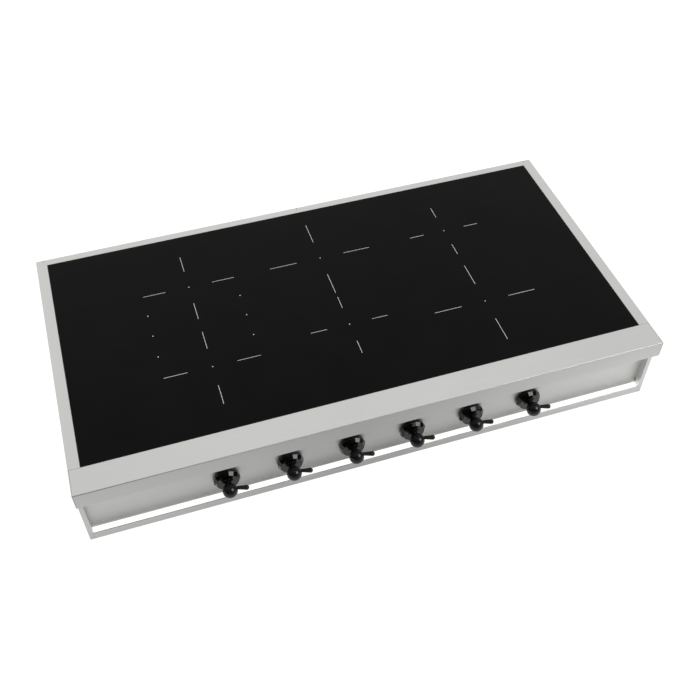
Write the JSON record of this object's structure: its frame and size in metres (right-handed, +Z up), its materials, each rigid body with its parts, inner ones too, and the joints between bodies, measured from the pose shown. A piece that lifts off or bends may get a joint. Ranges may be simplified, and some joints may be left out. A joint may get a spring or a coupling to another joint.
{
  "type": "electric induction cooktop",
  "caption": "Wide built-in induction cooktop: black glass top in a stainless frame, deep front ledge, recessed panel with lever knobs that turn.",
  "frame": {"origin": "centre of the bounding box, knobs included, on the surface that the feet stand on", "axes": "+X along the width to the right as seen from the front, +Y from the knobs to the back, +Z up"},
  "size_m": [1.2, 0.659, 0.1764],
  "materials": {
    "black_glass": "polished black glass ceramic",
    "silicone": "matte black silicone",
    "brushed_stainless": "brushed along the width",
    "case_steel": "galvanised sheet",
    "gloss_black": "high gloss black",
    "satin_black": "satin black",
    "dark_lever": "satin olive black",
    "machined_steel": "machined",
    "aluminium": "mill finish",
    "copper": "enamelled copper litz",
    "ferrite": "sintered, matte",
    "circuit_board": "solder mask",
    "black_plastic": "moulded",
    "foot_rubber": "moulded",
    "white_ceramic": "glazed"
  },
  "bodies": {
    "root": {"back_panel": "case_steel", "backguard_nuts": "machined_steel", "board_standoffs": "machined_steel", "bottom_bar": "brushed_stainless", "bottom_pan": "case_steel", "cable_gland": "black_plastic", "coil_carriers": "black_plastic", "coil_tray": "aluminium", "coil_windings": "copper", "control_board": "circuit_board", "control_panel": "brushed_stainless", "deck_frame": "brushed_stainless", "fan_frames": "black_plastic", "ferrite_bars": "ferrite", "filter_board": "circuit_board", "foot_pads": "foot_rubber", "front_ledge": "brushed_stainless", "glass_panel": "black_glass", "glass_seal": "silicone", "heatsinks": "aluminium", "inverter_boards": "circuit_board", "knob_rosette_1": "gloss_black", "knob_rosette_2": "gloss_black", "knob_rosette_3": "gloss_black", "knob_rosette_4": "gloss_black", "knob_rosette_5": "gloss_black", "knob_rosette_6": "gloss_black", "ledge_caps": "brushed_stainless", "levelling_feet": "machined_steel", "post_left": "brushed_stainless", "post_right": "brushed_stainless", "power_components": "black_plastic", "recess_cheeks": "brushed_stainless", "rotary_switches": "black_plastic", "side_panel_left": "case_steel", "side_panel_right": "case_steel", "switch_nuts": "machined_steel", "temperature_sensors": "white_ceramic", "terminal_block": "black_plastic", "tray_posts": "aluminium"},
    "knob_1": {"knob_ball_1": "satin_black", "knob_lever_1": "dark_lever", "knob_spindle_1": "machined_steel"},
    "knob_2": {"knob_ball_2": "satin_black", "knob_lever_2": "dark_lever", "knob_spindle_2": "machined_steel"},
    "knob_3": {"knob_ball_3": "satin_black", "knob_lever_3": "dark_lever", "knob_spindle_3": "machined_steel"},
    "knob_4": {"knob_ball_4": "satin_black", "knob_lever_4": "dark_lever", "knob_spindle_4": "machined_steel"},
    "knob_5": {"knob_ball_5": "satin_black", "knob_lever_5": "dark_lever", "knob_spindle_5": "machined_steel"},
    "knob_6": {"knob_ball_6": "satin_black", "knob_lever_6": "dark_lever", "knob_spindle_6": "machined_steel"},
    "fan_left": {"fan_rotor_left": "black_plastic"},
    "fan_right": {"fan_rotor_right": "black_plastic"}
  },
  "joints": [
    {"name": "knob_1_turn", "type": "hinge", "parent": "root", "child": "knob_1", "pos_m": [-0.3204, -0.31455, 0.0657], "axis": [0, 1, 0], "range_deg": [0, 270]},
    {"name": "knob_2_turn", "type": "hinge", "parent": "root", "child": "knob_2", "pos_m": [-0.1914, -0.31455, 0.0657], "axis": [0, 1, 0], "range_deg": [0, 270]},
    {"name": "knob_3_turn", "type": "hinge", "parent": "root", "child": "knob_3", "pos_m": [-0.0624, -0.31455, 0.0657], "axis": [0, 1, 0], "range_deg": [0, 270]},
    {"name": "knob_4_turn", "type": "hinge", "parent": "root", "child": "knob_4", "pos_m": [0.0666, -0.31455, 0.0657], "axis": [0, 1, 0], "range_deg": [0, 270]},
    {"name": "knob_5_turn", "type": "hinge", "parent": "root", "child": "knob_5", "pos_m": [0.1956, -0.31455, 0.0657], "axis": [0, 1, 0], "range_deg": [0, 270]},
    {"name": "knob_6_turn", "type": "hinge", "parent": "root", "child": "knob_6", "pos_m": [0.3246, -0.31455, 0.0657], "axis": [0, 1, 0], "range_deg": [0, 270]},
    {"name": "fan_left_spin", "type": "hinge", "parent": "root", "child": "fan_left", "pos_m": [-0.33, 0.20605, 0.03], "axis": [0, 0, 1], "continuous": true},
    {"name": "fan_right_spin", "type": "hinge", "parent": "root", "child": "fan_right", "pos_m": [0.33, 0.20605, 0.03], "axis": [0, 0, 1], "continuous": true}
  ]
}
